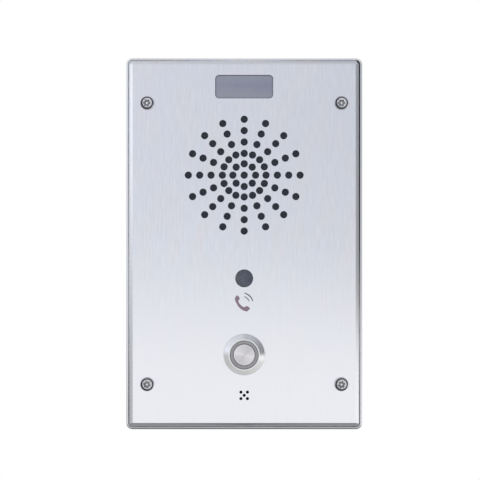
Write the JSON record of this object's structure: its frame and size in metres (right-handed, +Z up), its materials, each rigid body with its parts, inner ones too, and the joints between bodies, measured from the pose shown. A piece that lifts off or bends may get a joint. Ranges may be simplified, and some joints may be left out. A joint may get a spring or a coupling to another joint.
{
  "type": "video door intercom panel",
  "caption": "Flat stainless door intercom panel on a shallow wall box, with loudspeaker grille, camera window, light window, call button and microphone holes.",
  "frame": {"origin": "on the wall, at the middle of the four wall holes, behind the middle of the panel", "axes": "+Z up the panel, +X to the right of a viewer at the front, +Y into the wall; the front faces -Y"},
  "size_m": [0.1272, 0.0524, 0.2],
  "materials": {
    "plate_stainless": "vertical brushed grain",
    "box_stainless": "fine satin sheet",
    "polished_stainless": "turned, near polished",
    "zinc_plated": "bright zinc",
    "nickel_brass": "nickel-plated, dull",
    "contact_brass": "bare",
    "spring_steel": "drawn wire",
    "black_rubber": "matt",
    "foam": "closed-cell foam",
    "smoked_window": "smoked, satin rear",
    "clear_window": "tinted, clear",
    "frosted_ring": "frosted, lets light through",
    "circuit_board": "solder mask",
    "white_plastic": "moulded",
    "black_plastic": "fine texture",
    "green_plastic": "moulded",
    "basket_paint": "black paint",
    "ferrite": "pressed ferrite",
    "cone_paper": "black pulp paper",
    "spider_cloth": "waxed cloth",
    "coil_copper": "lacquered copper",
    "aluminium": "drawn",
    "ribbon_film": "laminated",
    "lead_jacket": "extruded"
  },
  "bodies": {
    "panel": {"front_plate": "plate_stainless", "housing_band": "box_stainless", "rear_panel": "box_stainless", "seat_frame": "box_stainless", "speaker_mesh": "box_stainless", "button_housing": "polished_stainless", "button_nut": "polished_stainless", "plate_screws": "polished_stainless", "earth_stud": "polished_stainless", "press_nuts": "zinc_plated", "speaker_studs": "zinc_plated", "speaker_clamps": "zinc_plated", "speaker_nuts": "zinc_plated", "board_screws": "zinc_plated", "camera_screws": "zinc_plated", "light_screws": "zinc_plated", "terminal_screws": "zinc_plated", "speaker_top_plate": "zinc_plated", "speaker_yoke": "zinc_plated", "board_standoffs": "nickel_brass", "camera_standoffs": "nickel_brass", "speaker_terminals": "contact_brass", "button_terminals": "contact_brass", "button_spring": "spring_steel", "plate_gasket": "black_rubber", "cable_grommet": "black_rubber", "button_seal": "black_rubber", "mic_boot": "black_rubber", "speaker_surround": "black_rubber", "speaker_gasket": "foam", "light_gasket": "foam", "light_window": "smoked_window", "camera_window": "clear_window", "camera_front_lens": "clear_window", "button_light_ring": "frosted_ring", "main_board": "circuit_board", "light_board": "circuit_board", "camera_board": "circuit_board", "light_leds": "white_plastic", "light_spacers": "white_plastic", "lead_sockets": "white_plastic", "camera_lens_barrel": "black_plastic", "camera_lens_holder": "black_plastic", "button_contact_block": "black_plastic", "network_jack": "black_plastic", "board_chips": "black_plastic", "camera_sensor": "black_plastic", "terminal_block": "green_plastic", "speaker_basket": "basket_paint", "speaker_magnet": "ferrite", "speaker_spider": "spider_cloth", "heat_sink": "aluminium", "capacitors": "aluminium", "mic_capsule": "aluminium", "camera_ribbon": "ribbon_film", "inner_leads": "lead_jacket"},
    "call_button": {"button_actuator": "polished_stainless"},
    "cone": {"speaker_cone": "cone_paper", "speaker_dust_cap": "cone_paper", "speaker_voice_coil": "coil_copper"}
  },
  "joints": [
    {"name": "call_button_press", "type": "slide", "parent": "panel", "child": "call_button", "axis": [0, 1, 0], "range_m": [0, 0.0015], "stiffness_N_per_m": 800, "deforming": ["button_spring"]},
    {"name": "cone_travel", "type": "slide", "parent": "panel", "child": "cone", "axis": [0, 1, 0], "range_m": [-0.0008, 0.0008], "stiffness_N_per_m": 2000, "deforming": ["speaker_surround", "speaker_spider"]}
  ]
}
